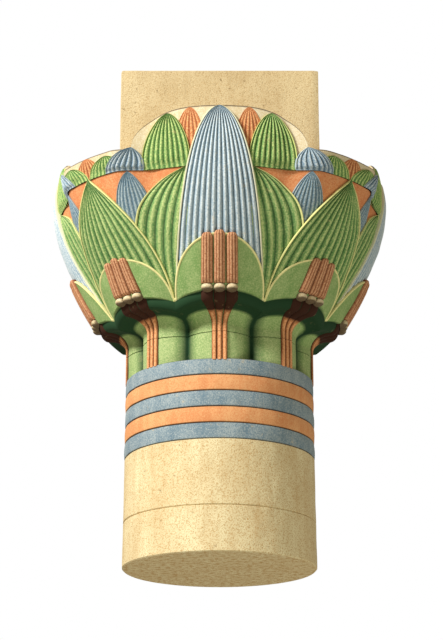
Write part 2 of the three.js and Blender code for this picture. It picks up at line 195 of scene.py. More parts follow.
def grain_group():
    """Sandstone's own look: a stipple of dark and pale grains, broad mottling, faint streaks down the
    face, pits, and dirt with painted shade where the stone is sheltered. A bed that faces down is
    browner and pecked."""
    tree = bpy.data.node_groups.new("sandstone_grain", "ShaderNodeTree")
    for name in ("Light", "Dark", "Dirt"):
        group_socket(tree, name, "INPUT", "Color")
    group_socket(tree, "Stipple", "INPUT", "Float", 0.5)
    group_socket(tree, "Shelter", "INPUT", "Float", 1.0)
    group_socket(tree, "Color", "OUTPUT", "Color")
    group_socket(tree, "Roughness", "OUTPUT", "Float")
    group_socket(tree, "Height", "OUTPUT", "Float")
    given = tree.nodes.new("NodeGroupInput")
    place = node(tree, "TexCoord").outputs["Object"]
    drawn = node(tree, "Mapping", None, Vector=place, Scale=(9.0, 9.0, 1.1)).outputs[0]
    mottle = noise(tree, place, 3.2, 5.0, 0.6)
    streak = noise(tree, drawn, 1.0)
    stipple = noise(tree, place, 115.0, 2.0, 0.7)
    coarse = noise(tree, place, 36.0, 3.0, 0.6)
    spots = noise(tree, place, 21.0, 2.0, 0.5)
    broad = maths(tree, "MULTIPLY", maths(tree, "ADD", mottle, streak), 0.5)
    facing = node(tree, "SeparateXYZ", None, i0=node(tree, "NewGeometry").outputs["Normal"]).outputs["Z"]
    bed = stretched(tree, facing, -0.6, -0.9)
    pecks = stretched(tree, noise(tree, place, 27.0, 3.0, 0.7), 0.45, 0.58, 0.0, 0.8)
    pecked = maths(tree, "MULTIPLY", pecks, bed)
    tone = maths(tree, "MAXIMUM", stretched(tree, broad, 0.4, 0.66, 0.0, 0.5), pecked)
    base = blended(tree, tone, given.outputs["Light"], given.outputs["Dark"])
    speck = maths(tree, "MULTIPLY", stretched(tree, stipple, 0.48, 0.62), given.outputs["Stipple"])
    dotted = blended(tree, speck, base, given.outputs["Dark"])
    spotted = blended(tree, stretched(tree, spots, 0.7, 0.76, 0.0, 0.55), dotted, given.outputs["Dirt"])
    bright = maths(tree, "MULTIPLY", stretched(tree, coarse, 0.5, 0.75), 0.4)
    lit = blended(tree, bright, spotted, given.outputs["Light"])
    pits = stretched(tree, coarse, 0.34, 0.44)
    grainy = stretched(tree, coarse, 0.38, 0.6, 0.2, 1.0)
    # Dirt and painted shade: the stone goes browner where the ambient occlusion finds it sheltered, in
    # joints and creases.
    sheltered = stretched(tree, given.outputs["Shelter"], 0.8, 0.15, 0.0, 0.75)
    shade_and_dirt = maths(tree, "MULTIPLY", sheltered, grainy)
    shaded_and_soiled = blended(tree, shade_and_dirt, lit, given.outputs["Dirt"])
    height = maths(tree, "ADD", maths(tree, "MULTIPLY", stipple, 0.4), maths(tree, "MULTIPLY", pits, 0.6))
    rough = stretched(tree, mottle, 0.3, 0.7, 0.82, 0.95)
    out = tree.nodes.new("NodeGroupOutput")
    for name, value in (("Color", shaded_and_soiled), ("Roughness", rough), ("Height", height)):
        tree.links.new(value, out.inputs[name])
    return tree


GRAIN = grain_group()


def placed_group(tree, group):
    """A node that holds a node group."""
    made = tree.nodes.new("ShaderNodeGroup")
    made.node_tree = group
    return made


def finish_material(material, look, strength, depth):
    """Feeds a group's colour, roughness and height to the material's own shader."""
    tree = material.node_tree
    shader = tree.nodes["Principled BSDF"]
    shader.inputs["Specular IOR Level"].default_value = 0.2
    tree.links.new(look.outputs["Color"], shader.inputs["Base Color"])
    tree.links.new(look.outputs["Roughness"], shader.inputs["Roughness"])
    raised = node(tree, "Bump", None, Strength=strength, Distance=depth, Height=look.outputs["Height"])
    tree.links.new(raised.outputs[0], shader.inputs["Normal"])


def openness(tree, reach):
    """How open the surface is to the sky within reach: 1 in the open and 0 in a deep crease."""
    return node(tree, "AmbientOcclusion", {"samples": 4}, Distance=reach).outputs["AO"]


def bare_stone(name, light, dark, stipple):
    """A material of bare sandstone."""
    material = bpy.data.materials.new(name)
    material.use_nodes = True
    tree = material.node_tree
    look = placed_group(tree, GRAIN)
    look.inputs["Light"].default_value = light
    look.inputs["Dark"].default_value = dark
    look.inputs["Dirt"].default_value = colour(112, 84, 48)
    look.inputs["Stipple"].default_value = stipple
    tree.links.new(openness(tree, 0.09), look.inputs["Shelter"])
    finish_material(material, look, 0.4, 0.004)
    return material


def shaft_radius(z):
    """The shaft's radius, which tapers evenly from its foot to the top of the bands."""
    return SHAFT_TOP_RADIUS + SHAFT_TAPER * (1 - z / BANDS_TOP)


def chamfered_drum(low, high):
    """A drum as rings: out over the lower bed, round a fine chamfer, up the face and in over the top."""
    bed = np.array([0.1, 0.3, 0.5, 0.7, 0.85, 0.95, 0.99])
    z_face = np.linspace(low + JOINT_CHAMFER, high - JOINT_CHAMFER, 30)
    r_low, r_high = shaft_radius(low) - JOINT_CHAMFER, shaft_radius(high) - JOINT_CHAMFER
    radius = np.concatenate([bed * r_low, [r_low], shaft_radius(z_face), [r_high], bed[::-1] * r_high])
    z = np.concatenate([np.full(8, low), z_face, np.full(8, high)])
    angle = np.linspace(0, 360, SHAFT_COLUMNS, endpoint=False)
    return weathered(polar(angle[None, :], radius[:, None], z[:, None]), 0.0012, 0.16)


SHAFT_STONE = bare_stone("shaft_sandstone", colour(244, 230, 186), colour(192, 150, 90), 0.75)
stone_piece("shaft_drum", [(chamfered_drum(0.0, DRUM_JOINT), {})], SHAFT_STONE, "sandstone", "lower_drum")


# The banded drum: the shaft goes on plain, and five raised bands are carved round its top, painted
# blue and orange by turns. They stand for the cord that binds the bundle of plants to the shaft.
DRUM_GAP = 0.0003
BAND_GROOVE = 0.012
BAND_GROOVE_DEPTH = 0.010
BAND_SWELL = 0.004
BLUE = colour(164, 180, 186)
BLUE_SHADE = colour(116, 142, 158)
BLUE_LINE = colour(72, 98, 118)
ORANGE = colour(250, 184, 126)
ORANGE_SHADE = colour(232, 152, 98)
BROWN_LINE = colour(70, 46, 30)


def paint_group():
    """Paint on carved sandstone: two tones in broad patches, the stipple of the stone through it, paler
    crests as painted highlights and dark lines down the flutes as painted shade, the same painted
    shade in grooves and creases and under the lips where the marks say, a margin of another colour,
    spots where the paint is rubbed off, and painted shade in shelter in the colour of the lines."""
    tree = bpy.data.node_groups.new("painted_sandstone", "ShaderNodeTree")
    for name in ("Paint", "Shade", "Crest", "Line", "Margin"):
        group_socket(tree, name, "INPUT", "Color")
    values = {"Lines And Shading": 0.0, "Edge": 0.0, "Wear": 0.3, "Shelter": 1.0, "Line Depth": 0.8}
    for name, value in values.items():
        group_socket(tree, name, "INPUT", "Float", value)
    group_socket(tree, "Color", "OUTPUT", "Color")
    group_socket(tree, "Roughness", "OUTPUT", "Float")
    group_socket(tree, "Height", "OUTPUT", "Float")
    given = tree.nodes.new("NodeGroupInput")
    place = node(tree, "TexCoord").outputs["Object"]
    mottle = noise(tree, place, 4.5, 5.0, 0.6)
    stipple = noise(tree, place, 115.0, 2.0, 0.7)
    drawn = node(tree, "Mapping", None, Vector=place, Scale=(16.0, 16.0, 3.0)).outputs[0]
    brushed = noise(tree, drawn, 1.0, 4.0)
    tones = maths(tree, "MULTIPLY", maths(tree, "ADD", mottle, brushed), 0.5)
    toned = blended(
        tree, stretched(tree, tones, 0.42, 0.62), given.outputs["Paint"], given.outputs["Shade"]
    )
    # Painted highlight: where the mark is low, on the crests of ribs and flutes, the paint is paler.
    high = stretched(tree, given.outputs["Lines And Shading"], 0.3, 0.0, 0.0, 0.75)
    crested = blended(tree, high, toned, given.outputs["Crest"])
    dark = blended(tree, stretched(tree, stipple, 0.5, 0.64, 0.0, 0.9), crested, given.outputs["Shade"])
    pale = blended(tree, stretched(tree, stipple, 0.48, 0.34, 0.0, 0.8), dark, given.outputs["Crest"])
    # Painted shade: where the mark is high, down the hollows, in grooves and creases and under the lips,
    # the paint goes to the dark line colour.
    line_shading = maths(tree, "POWER", given.outputs["Lines And Shading"], 1.6)
    in_line = maths(tree, "MULTIPLY", line_shading, given.outputs["Line Depth"])
    lined = blended(tree, in_line, pale, given.outputs["Line"])
    rim_dots = stretched(tree, stipple, 0.5, 0.7, 0.0, 0.35)
    rim = blended(tree, rim_dots, given.outputs["Margin"], given.outputs["Shade"])
    edged = blended(tree, given.outputs["Edge"], lined, rim)
    rubbed = noise(tree, place, 17.0, 6.0, 0.68)
    bare = maths(tree, "MULTIPLY", stretched(tree, rubbed, 0.62, 0.69), given.outputs["Wear"])
    worn = blended(tree, bare, edged, colour(226, 200, 148))
    # Painted shade in shelter: the paint goes towards the dark line colour where the ambient occlusion
    # finds a crease.
    shade_and_dirt = stretched(tree, given.outputs["Shelter"], 0.55, 0.08, 0.0, 0.75)
    shaded_and_soiled = blended(tree, shade_and_dirt, worn, given.outputs["Line"])
    thick = maths(tree, "MULTIPLY", bare, -0.5)
    height = maths(tree, "ADD", maths(tree, "MULTIPLY", stipple, 0.4), thick)
    rough = stretched(tree, mottle, 0.3, 0.7, 0.74, 0.9)
    out = tree.nodes.new("NodeGroupOutput")
    for name, value in (("Color", shaded_and_soiled), ("Roughness", rough), ("Height", height)):
        tree.links.new(value, out.inputs[name])
    return tree


PAINT = paint_group()


def painted(name, paint, shade, crest, line, margin=None, wear=0.3, depth=0.85):
    """A material of paint on sandstone. The piece's marks say where its flutes and margins are, and
    where light and shade are painted on it.
    """
    material = bpy.data.materials.new(name)
    material.use_nodes = True
    tree = material.node_tree
    look = placed_group(tree, PAINT)
    tones = {"Paint": paint, "Shade": shade, "Crest": crest, "Line": line, "Margin": margin or paint}
    for key, value in tones.items():
        look.inputs[key].default_value = value
    look.inputs["Wear"].default_value = wear
    look.inputs["Line Depth"].default_value = depth
    for mark, key in (("lines_and_shading", "Lines And Shading"), ("margin", "Edge")):
        read = node(tree, "Attribute", {"attribute_name": mark})
        tree.links.new(read.outputs["Fac"], look.inputs[key])
    tree.links.new(openness(tree, 0.08), look.inputs["Shelter"])
    finish_material(material, look, 0.3, 0.003)
    return material


def band(index):
    """One band as rings: a flat fillet that swells a little, between the halves of two grooves. Its
    marks paint shade into the grooves."""
    foot = BANDS_FOOT + index * BAND_HEIGHT
    share = np.concatenate([np.linspace(0, 0.08, 6), np.linspace(0.1, 0.9, 14), np.linspace(0.92, 1, 6)])
    z = foot + share * BAND_HEIGHT
    near = np.minimum(share, 1 - share) * BAND_HEIGHT / (BAND_GROOVE / 2)
    sunk = BAND_GROOVE_DEPTH * np.clip(1 - near, 0, 1) ** 0.8
    radius = shaft_radius(z) - sunk + BAND_SWELL * (1 - (2 * share - 1) ** 2)
    angle = np.linspace(0, 360, SHAFT_COLUMNS, endpoint=False)[None, :]
    face = weathered(polar(angle, radius[:, None], z[:, None]), 0.0014, 0.12)
    core = polar(angle, SHAFT_TOP_RADIUS - 0.05, z[[0, -1], None])
    # Painted shade: darkest down the grooves between the bands.
    lines_and_shading = np.concatenate([[1], 0.3 + 0.7 * np.clip(1.15 - near, 0, 1), [1]])
    marks = {"lines_and_shading": lines_and_shading[:, None], "margin": np.zeros((1, 1))}
    return np.concatenate([core[:1], face, core[1:]]), marks


stone_piece(
    "banded_drum_shaft", [(chamfered_drum(DRUM_JOINT + DRUM_GAP, BANDS_FOOT), {})],
    SHAFT_STONE, "sandstone", "banded_drum",
)
stone_piece(
    "blue_bands", [band(i) for i in (0, 2, 4)],
    painted("band_blue_paint", BLUE, BLUE_SHADE, colour(190, 200, 200), BROWN_LINE),
    "banded_stone", "banded_drum",
)
stone_piece(
    "orange_bands", [band(i) for i in (1, 3)],
    painted("band_orange_paint", ORANGE, ORANGE_SHADE, colour(250, 192, 134), BROWN_LINE),
    "banded_stone", "banded_drum",
)


# The neck: the round green stems of eight papyrus plants, bound side by side. Three thin red stems
# lie up the middle of each. A bed joint crosses them all, between the banded drum and the bell block.
NECK_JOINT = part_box("bell_block")[0].z
NECK_HEIGHT = 0.302
NECK_TOP = BANDS_TOP + NECK_HEIGHT
STEM_ROUND = 0.246
STEM_SETBACK = 0.008
THIN_STEM_PITCH = 0.036
THIN_STEM_PROUD = 0.016
THIN_SHADE = NECK_TOP + 0.030
BACK_DEPTH = 0.03
PLANTS = np.arange(8) * 45.0
PLANT_HALF = 22.5
JOINT_OPEN = 0.003
GREEN_LINE = colour(34, 66, 40)
RED = colour(226, 154, 100)
RED_SHADE = colour(196, 122, 74)
RED_CREST = colour(246, 186, 132)
RED_LINE = colour(62, 34, 22)


def stem_radius(angle):
    """Distance from the axis to a round stem's surface, at an angle from the stem's middle."""
    centre = SHAFT_TOP_RADIUS - STEM_SETBACK - STEM_ROUND
    a = np.radians(angle)
    return centre * np.cos(a) + np.sqrt(STEM_ROUND**2 - (centre * np.sin(a)) ** 2)


def smooth(x, low, high):
    """An S curve that goes from 0 to 1 while x goes from low to high."""
    share = np.clip((x - low) / (high - low), 0, 1)
    return share * share * (3 - 2 * share)


def neck_stems(low, high):
    """The bound stems between two heights as rings, each a chain of eight arcs. The marks paint shade
    into the creases where two stems meet."""
    local = PLANT_HALF * np.sin(np.radians(np.linspace(-90, 90, 41)[:-1]))
    angle = (PLANTS[:, None] + local).ravel()
    radius = np.tile(stem_radius(local), 8)
    # Painted shade in the creases between the stems.
    crease = np.tile(0.2 + 0.8 * np.clip((np.abs(local) - 15) / 6.5, 0, 1), 8)
    face_z = np.linspace(low + 0.004, high - 0.004, 12)
    z = np.concatenate([[low, low + 0.002], face_z, [high - 0.002, high]])
    inset = np.zeros(len(z))
    inset[[0, -1]] = 0.004
    rings = polar(angle[None, :], radius[None, :] - inset[:, None], z[:, None])
    return weathered(rings, 0.0016, 0.13), {"lines_and_shading": crease[None, :], "margin": np.zeros((1, 1))}


def thin_stem(plant, index, path, width, pitch):
    """A thin stem as rings across its length: a half round that follows a path of radius, height and
    spread out from a plant's middle. The marks paint shade along its two edges and over all of it
    above a height under the lip."""
    radius, z, spread = path.T
    across = np.linspace(-1, 1, 9)
    rise = np.sqrt(np.clip(1 - across**2, 0, 1))
    along = np.gradient(path[:, :2], axis=0)
    along /= np.linalg.norm(along, axis=1, keepdims=True)
    out_r, out_z = along[:, 1:], -along[:, :1]
    side = index * pitch(spread)[:, None] + width(spread)[:, None] / 2 * across
    proud = THIN_STEM_PROUD * rise
    turned = plant + np.degrees(side / radius[:, None])
    front = polar(turned, radius[:, None] + proud * out_r, z[:, None] + proud * out_z)
    back_r, back_z = radius[:, None] - BACK_DEPTH * out_r, z[:, None] - BACK_DEPTH * out_z
    deep = polar(turned[:, [-1, 0]], back_r, back_z)
    # Painted shade along the edges, and over the whole stem from just below the lip upwards.
    edges = np.concatenate([np.abs(across) ** 2, [1, 1]])
    lines_and_shading = np.maximum(edges, smooth(z, THIN_SHADE - 0.008, THIN_SHADE + 0.008)[:, None])
    return np.concatenate([front, deep], axis=1), {"lines_and_shading": lines_and_shading, "margin": np.zeros((1, 1))}


def on_neck(spread):
    """The width and the pitch of the thin stems where they lie close together on the neck."""
    return np.full_like(spread, THIN_STEM_PITCH)


def upright_path(low, high):
    """A straight path up the face of a neck stem."""
    z = np.linspace(low, high, 8)
    return np.stack([np.full(8, SHAFT_TOP_RADIUS - STEM_SETBACK - 0.001), z, np.zeros(8)], axis=1)


STEM_GREEN = painted(
    "stem_green_paint", colour(172, 194, 130), colour(140, 170, 104), colour(204, 214, 150), GREEN_LINE,
    wear=0.1, depth=1.0,
)
STEM_RED = painted("stem_red_paint", RED, RED_SHADE, RED_CREST, RED_LINE, wear=0.15, depth=1.0)
TRIOS = [(plant, index) for plant in PLANTS for index in (-1, 0, 1)]
stone_piece(
    "stems_below_joint", [neck_stems(BANDS_TOP - 0.03, NECK_JOINT - JOINT_OPEN)],
    STEM_GREEN, "painted_stone", "banded_drum",
)
low_path = upright_path(BANDS_TOP - 0.01, NECK_JOINT - JOINT_OPEN)
stone_piece(
    "thin_stems_below_joint", [thin_stem(*at, low_path, on_neck, on_neck) for at in TRIOS],
    STEM_RED, "painted_stone", "banded_drum",
)


# The bell: the block's own stone behind the leaves. It flares by a curve, with a broad lobe at each
# corner. It is painted orange below the tier and cream above it, with brown lines along the tier and
# the rim, and behind the rim a bare ledge runs round the bed for the abacus.
LIP_THICKNESS = 0.080
LIP = NECK_TOP + LIP_THICKNESS
TIER = LIP + 0.832
CORNER_RIM = LIP + 0.980
WIDEST = LIP + 1.020
FACE_RIM = LIP + 1.285
SIDE_RIM = LIP + 1.175
BELL_FOOT_RADIUS = 0.786
BELL_RADIUS = 1.180
RIM_TUCK = 0.030
CORNER_FLARE = 0.130
LOBE = (22.0, 35.0)
FACE_ARCH_HALF = 28.9
TIER_LEDGE = 0.005
RIM_ROUND = 0.010
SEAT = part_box("abacus")[0].z - DRUM_GAP
SEAT_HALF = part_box("abacus")[1].x + 0.012
LEDGE_WIDTH = 0.040
LEDGE_DEPTH = 0.015
CORE_RADIUS = 0.5
CREAM = colour(246, 232, 198)


def from_face(angle):
    """The angle from the nearest face of the abacus, 0 to 45 degrees."""
    return np.abs((angle + 45) % 90 - 45)


def bell_radius(z):
    """The plain bell: a power curve out to its widest, then drawn in a little up to the rim."""
    below = np.clip((WIDEST - z) / (WIDEST - LIP), 0, 1)
    above = np.clip((z - WIDEST) / (FACE_RIM - WIDEST), 0, 1.2)
    return BELL_RADIUS - (BELL_RADIUS - BELL_FOOT_RADIUS) * below**1.85 - RIM_TUCK * above**2


def ground(angle, z):
    """The bell's surface: the plain bell and its four corner lobes, which flare more higher up."""
    flare = np.clip((z - LIP) / (CORNER_RIM - LIP), 0, 1) ** 1.5
    return bell_radius(z) + CORNER_FLARE * smooth(from_face(angle), *LOBE) * flare


def arch_top(angle):
    """The top of the rim's arch over the nearest face: lower at the sides than in front and behind."""
    return np.where(np.abs(np.sin(np.radians(angle))) > math.sqrt(0.5), SIDE_RIM, FACE_RIM)


def rim_height(angle):
    """The rim: level over the corners and arched over each face."""
    share = np.clip(from_face(angle) / FACE_ARCH_HALF, 0, 1)
    return CORNER_RIM + (arch_top(angle) - CORNER_RIM) * np.sqrt(1 - share**3.6)


def round_the_bell():
    """The angles of the columns round the bell, closer together at the steps of the rim."""
    steps = np.array([28.7, 28.8, 28.89, 28.95])
    eighth = np.concatenate(
        [np.linspace(0, 24, 36), np.linspace(24.4, 28.5, 22), steps, np.linspace(29.3, 45, 26)]
    )
    quarter = np.concatenate([eighth, 90 - eighth[-2:0:-1]])
    return (np.array([[0], [90], [180], [270]]) + quarter).reshape(1, -1)


def lower_ground():
    """The bell below the tier, as rings."""
    angle = round_the_bell()
    z = np.linspace(LIP - 0.02, TIER, 30)[:, None]
    face = weathered(polar(angle, ground(angle, z), z), 0.0015, 0.14)
    core = polar(angle, CORE_RADIUS, z[[0, -1]])
    marks = {"lines_and_shading": np.full((1, 1), 0.35), "margin": np.zeros((1, 1))}
    return np.concatenate([core[:1], face, core[1:]]), marks


def upper_ground():
    """The bell above the tier, as rings: the face, the rounded rim, the sunk ledge behind it and the
    bed for the abacus. The marks draw the brown lines along the tier and the rim, and leave the ledge
    bare."""
    angle = round_the_bell()
    rim = rim_height(angle)
    share = np.concatenate([[0, 0.012, 0.05], np.linspace(0.08, 0.94, 20), [0.985, 1]])[:, None]
    z = TIER + (rim - RIM_ROUND - TIER) * share
    r = ground(angle, z) + TIER_LEDGE
    turn = np.radians(np.linspace(15, 90, 6))[:, None]
    round_r = r[-1:] - RIM_ROUND * (1 - np.cos(turn))
    round_z = rim - RIM_ROUND * (1 - np.sin(turn))
    seat = SEAT_HALF / np.cos(np.radians(from_face(angle)))
    ledge = np.minimum(rim, SEAT) - LEDGE_DEPTH
    inner = round_r[-1:]
    in_r = [inner + (seat + LEDGE_WIDTH - inner) * s for s in (0.04, 0.3, 0.6, 0.9, 1)]
    in_z = [rim + (ledge - rim) * s for s in (0.3, 0.5, 0.75, 0.95, 1)]
    bed_z = [np.full_like(seat, SEAT - 0.01), np.full_like(seat, SEAT), np.full_like(seat, SEAT)]
    face = polar(
        angle,
        np.concatenate([r, round_r, *in_r, seat + 0.004, seat, seat * 0.8]),
        np.concatenate([z, round_z, *in_z, *bed_z]),
    )
    core = polar(angle, 0.9, np.array([[TIER]]))
    lines_and_shading = np.full(len(face) + 1, 0.35)
    lines_and_shading[:3] = 1
    lines_and_shading[len(share) : len(share) + 4] = 1
    bare = np.zeros(len(face) + 1)
    bare[len(share) + 7 :] = 1
    marks = {"lines_and_shading": lines_and_shading[:, None], "margin": bare[:, None]}
    return np.concatenate([core, weathered(face, 0.0012, 0.14)]), marks


stone_piece(
    "bell_lower_ground", [lower_ground()],
    painted(
        "ground_orange_paint", colour(242, 166, 112), colour(222, 134, 84), colour(248, 186, 134),
        colour(120, 66, 40),
    ),
    "painted_stone", "bell_block",
)
stone_piece(
    "bell_upper_ground", [upper_ground()],
    painted(
        "ground_cream_paint", CREAM, colour(226, 204, 158), colour(252, 242, 214), BROWN_LINE,
        colour(200, 180, 134), wear=0.6,
    ),
    "painted_stone", "bell_block",
)


# The calyxes: each stem swells out under a lip and becomes a smooth green cup with an arched edge,
# drawn round with a raised yellow margin. They are carved in one with the stems. Those of the faces
# are taller, and their edges run down in front of their neighbours.
LIP_RADIUS = 0.856
LIP_NOTCH = 0.052
LIP_ARCH = 0.050
LIP_ROLL = 0.050
CALYX_HEIGHTS = (0.383, 0.300)
ARCH_DROPS = (0.120, 0.0)
CALYX_PROUD = 0.053
UNDER_LIP = NECK_TOP + 0.012
COVE_FOOT = NECK_TOP - 0.062
CALYX_MARGIN = 0.013
MARGIN_BEAD = 0.006
SHADE_FOOT = NECK_TOP + 0.034
SHADE_DROP = 0.060
YELLOW = colour(246, 236, 168)


def calyx_face(angle, z, height):
    """The cup's radius at an angle from its middle: proud of the bell, most at its middle and its lip."""
    share = (angle / PLANT_HALF) ** 2
    up = np.clip((z - LIP) / height, 0, 1)
    edge = LIP_RADIUS - BELL_FOOT_RADIUS - LIP_NOTCH
    centre = (LIP_RADIUS - BELL_FOOT_RADIUS) * (1 - up) + CALYX_PROUD * up
    return bell_radius(z) + centre + (edge - centre) * share


def lip_shade(angle, z):
    """The painted shade under a lip, 0 or 1: its lower edge is an arch over each stem."""
    arc = np.sqrt(np.clip(1 - (angle / PLANT_HALF) ** 2, 0, 1))
    foot = SHADE_FOOT - SHADE_DROP * (1 - arc)
    return smooth(z - foot, -0.006, 0.006)


def arch_height(angle, height, drop):
    """The arched upper edge of a cup: part of an ellipse, which ends at the lip."""
    arc = np.sqrt(np.clip(1 - (angle / PLANT_HALF) ** 2, 0, 1))
    return LIP + np.maximum(0.04 * height, (height + drop) * arc - drop)


def calyx(plant):
    """A calyx as rings across it: the cove that curves out from the stem, the rolled lip, the bulging
    face and the raised margin. The marks paint shade in the creases between the stems, on the cove
    under the lip and over the whole rolled lip, and colour the margin."""
    which = round(plant / 45) % 2
    height, drop = CALYX_HEIGHTS[which], ARCH_DROPS[which]
    s = np.sin(np.radians(np.linspace(-90, 90, 81)))[None, :]
    angle = s * (PLANT_HALF + 0.15)
    wide = np.ones_like(angle)
    lift = LIP_ARCH * (1 - s**2)
    stem = stem_radius(np.clip(angle, -PLANT_HALF, PLANT_HALF))
    lip = calyx_face(angle, LIP, height)
    shoulder = lip - LIP_ROLL
    a = np.radians(np.linspace(0, 90, 16))[:, None]
    cove_r = stem + (shoulder - stem) * (1 - np.cos(a))
    cove_z = COVE_FOOT + (UNDER_LIP + lift - COVE_FOOT) * np.sin(a)
    b = np.radians(np.linspace(12, 84, 8))[:, None]
    roll_r = shoulder + LIP_ROLL * np.sin(b)
    roll_z = UNDER_LIP + lift + (LIP - UNDER_LIP) * (1 - np.cos(b))
    arch = np.maximum(arch_height(angle, height, drop), LIP + lift + 0.012)
    up = np.concatenate([np.linspace(0, 0.85, 18), np.linspace(0.87, 1, 11)])[:, None]
    face_z = LIP + lift + (arch - LIP - lift) * up
    slope = np.abs(np.gradient(arch[0], np.radians(angle[0]) * lip[0]))[None, :]
    inside = (arch - face_z) / np.sqrt(1 + slope**2) / CALYX_MARGIN
    in_margin = smooth(inside, 1.15, 0.85)
    bead = MARGIN_BEAD * np.sqrt(np.clip(1 - (2 * np.clip(inside, 0, 1) - 1) ** 2, 0, 1))
    face_r = calyx_face(angle, face_z, height) + bead
    edge_r = calyx_face(angle, arch, height) - MARGIN_BEAD
    sunk_r = ground(plant + angle, arch) - BACK_DEPTH
    r = np.concatenate([cove_r, roll_r, face_r, edge_r, sunk_r])
    z = np.concatenate([cove_z, roll_z, face_z, arch + 0.003, arch + 0.003])
    front = weathered(polar(plant + angle, r, z), 0.0016, 0.15)
    ends = [-1, 0]
    deep = polar(plant + angle[:, ends], CORE_RADIUS, z[:, ends])
    # Painted shade: in the creases between the stems, under the lip, and over the rolled lip.
    crease = 0.2 + 0.8 * np.clip((np.abs(angle) - 15) / 6.5, 0, 1)
    shade = np.maximum(crease, lip_shade(angle, cove_z))
    rolled = np.ones((8, 1)) * wide
    lines_and_shading = np.concatenate([shade, rolled, 0.3 + 0 * face_r, wide, wide])
    margin = np.concatenate([0 * cove_r, 0 * roll_r, in_margin, wide, wide])
    return np.concatenate([front, deep], axis=1), {
        "lines_and_shading": np.concatenate([lines_and_shading, lines_and_shading[:, ends]], axis=1),
        "margin": np.concatenate([margin, margin[:, ends]], axis=1),
    }


stone_piece(
    "calyxes", [calyx(plant) for plant in PLANTS],
    painted(
        "calyx_green_paint", colour(174, 198, 130), colour(136, 172, 100), colour(198, 214, 146),
        GREEN_LINE, YELLOW, wear=0.08, depth=1.0,
    ),
    "painted_stone", "bell_block",
)
stone_piece(
    "stems_above_joint", [neck_stems(NECK_JOINT, COVE_FOOT + 0.004)],
    STEM_GREEN, "painted_stone", "bell_block",
)


# The buds: three to a plant, half-round, finely fluted and blunt at the top, carved in the bell block
# and painted red. Each stands on a cream knob at the lip of the calyx, and its thin red stem runs
# down under the lip to the neck.
BUD_PITCH = 0.0855
BUD_WIDTH = 0.083
BUD_PROUD = 0.036
BUD_TAPER = (0.02, 0.14)
BUD_FLUTES = 4
KNOB_HEIGHT = LIP + 0.060
KNOB_SIZE = (0.082, 0.060, 0.036)


def bud(plant, index):
    """A bud as rings across it: a half round with fine flutes, that narrows a little upwards and is
    rounded over at its top. The marks paint shade down the flutes and at its edges, and leave the
    crests of the flutes pale as painted highlights."""
    which = round(plant / 45) % 2
    height = CALYX_HEIGHTS[which]
    foot, top = KNOB_HEIGHT + 0.016, LIP + height + 0.016 - 0.014 * abs(index)
    turn = np.radians(np.linspace(4, 90, 14))
    up = np.concatenate([np.linspace(0, 0.88, 26), 0.88 + 0.12 * np.sin(turn)])[:, None]
    across = np.linspace(-1, 1, 41)[None, :]
    blunt = np.sqrt(np.clip(1 - (np.clip(up - 0.88, 0, 1) / 0.121) ** 2, 0, 1))
    taper = 1 - BUD_TAPER[which] * up
    z = foot + (top - foot) * up
    base = calyx_face(0, z, height) - 0.004
    side = (index * BUD_PITCH + across * BUD_WIDTH / 2 * (0.25 + 0.75 * blunt)) * taper
    wave = np.abs(np.sin((across + 1) / 2 * np.pi * BUD_FLUTES)) ** 0.6
    rise = np.sqrt(np.clip(1 - across**2, 0, 1)) * blunt * np.clip(0.5 + up / 0.05, 0, 1)
    turned = plant + np.degrees(side / base)
    front = polar(turned, base + BUD_PROUD * rise - 0.0035 * (1 - wave), z)
    deep = polar(turned[:, [-1, 0]], base - BACK_DEPTH, z)
    # Painted shade down the flutes and at the edges; painted highlight on the crests between them.
    lines_and_shading = np.maximum(1 - wave, np.abs(across) ** 8) * np.ones_like(up)
    lines_and_shading = np.concatenate([lines_and_shading, np.ones((len(up), 2))], axis=1)
    return np.concatenate([front, deep], axis=1), {"lines_and_shading": lines_and_shading, "margin": np.zeros((1, 1))}


def knob(plant, index):
    """A knob as rings: half an ellipsoid on the lip. Its marks paint shade over its lower half and
    round its edge.
    """
    width, tall, proud = KNOB_SIZE
    height = CALYX_HEIGHTS[round(plant / 45) % 2]
    up = np.radians(np.linspace(-88, 88, 13))[:, None]
    across = np.radians(np.linspace(-90, 90, 17))[None, :]
    z = KNOB_HEIGHT - 0.008 + tall / 2 * np.sin(up)
    base = calyx_face(0, KNOB_HEIGHT, height) - 0.004
    side = index * BUD_PITCH + width / 2 * np.sin(across) * np.cos(up)
    turned = plant + np.degrees(side / base)
    front = polar(turned, base + proud * np.cos(across) * np.cos(up), z)
    deep = polar(turned[:, [-1, 0]], base - 0.02, z)
    # Painted shade over the lower half of the knob and round its edge.
    under = smooth(-np.sin(up), 0.1, 0.4)
    lines_and_shading = np.maximum(0.2 + 0.8 * np.abs(np.sin(across)) ** 8, under)
    lines_and_shading = np.concatenate([lines_and_shading, np.ones((len(up), 2))], axis=1)
    return np.concatenate([front, deep], axis=1), {"lines_and_shading": lines_and_shading, "margin": np.zeros((1, 1))}


def lip_path():
    """The path of a thin stem: up the neck, along the cove under the lip and round the lip to its
    knob, spreading as it goes."""
    lip, stem = calyx_face(0, LIP, CALYX_HEIGHTS[0]), stem_radius(0)
    under = UNDER_LIP + LIP_ARCH
    a = np.radians(np.linspace(0, 90, 14))[1:]
    b = np.radians(np.linspace(12, 90, 7))
    shoulder = lip - LIP_ROLL
    r = np.concatenate([
        np.full(5, stem), stem + (shoulder - stem) * (1 - np.cos(a)), shoulder + LIP_ROLL * np.sin(b),
    ])
    z = np.concatenate([
        np.linspace(NECK_JOINT, COVE_FOOT, 5), COVE_FOOT + (under - COVE_FOOT) * np.sin(a),
        under + (LIP - UNDER_LIP) * (1 - np.cos(b)),
    ])
    return np.stack([r - 0.001, z, smooth(np.arange(len(r)), 4, len(r) - 5)], axis=1)


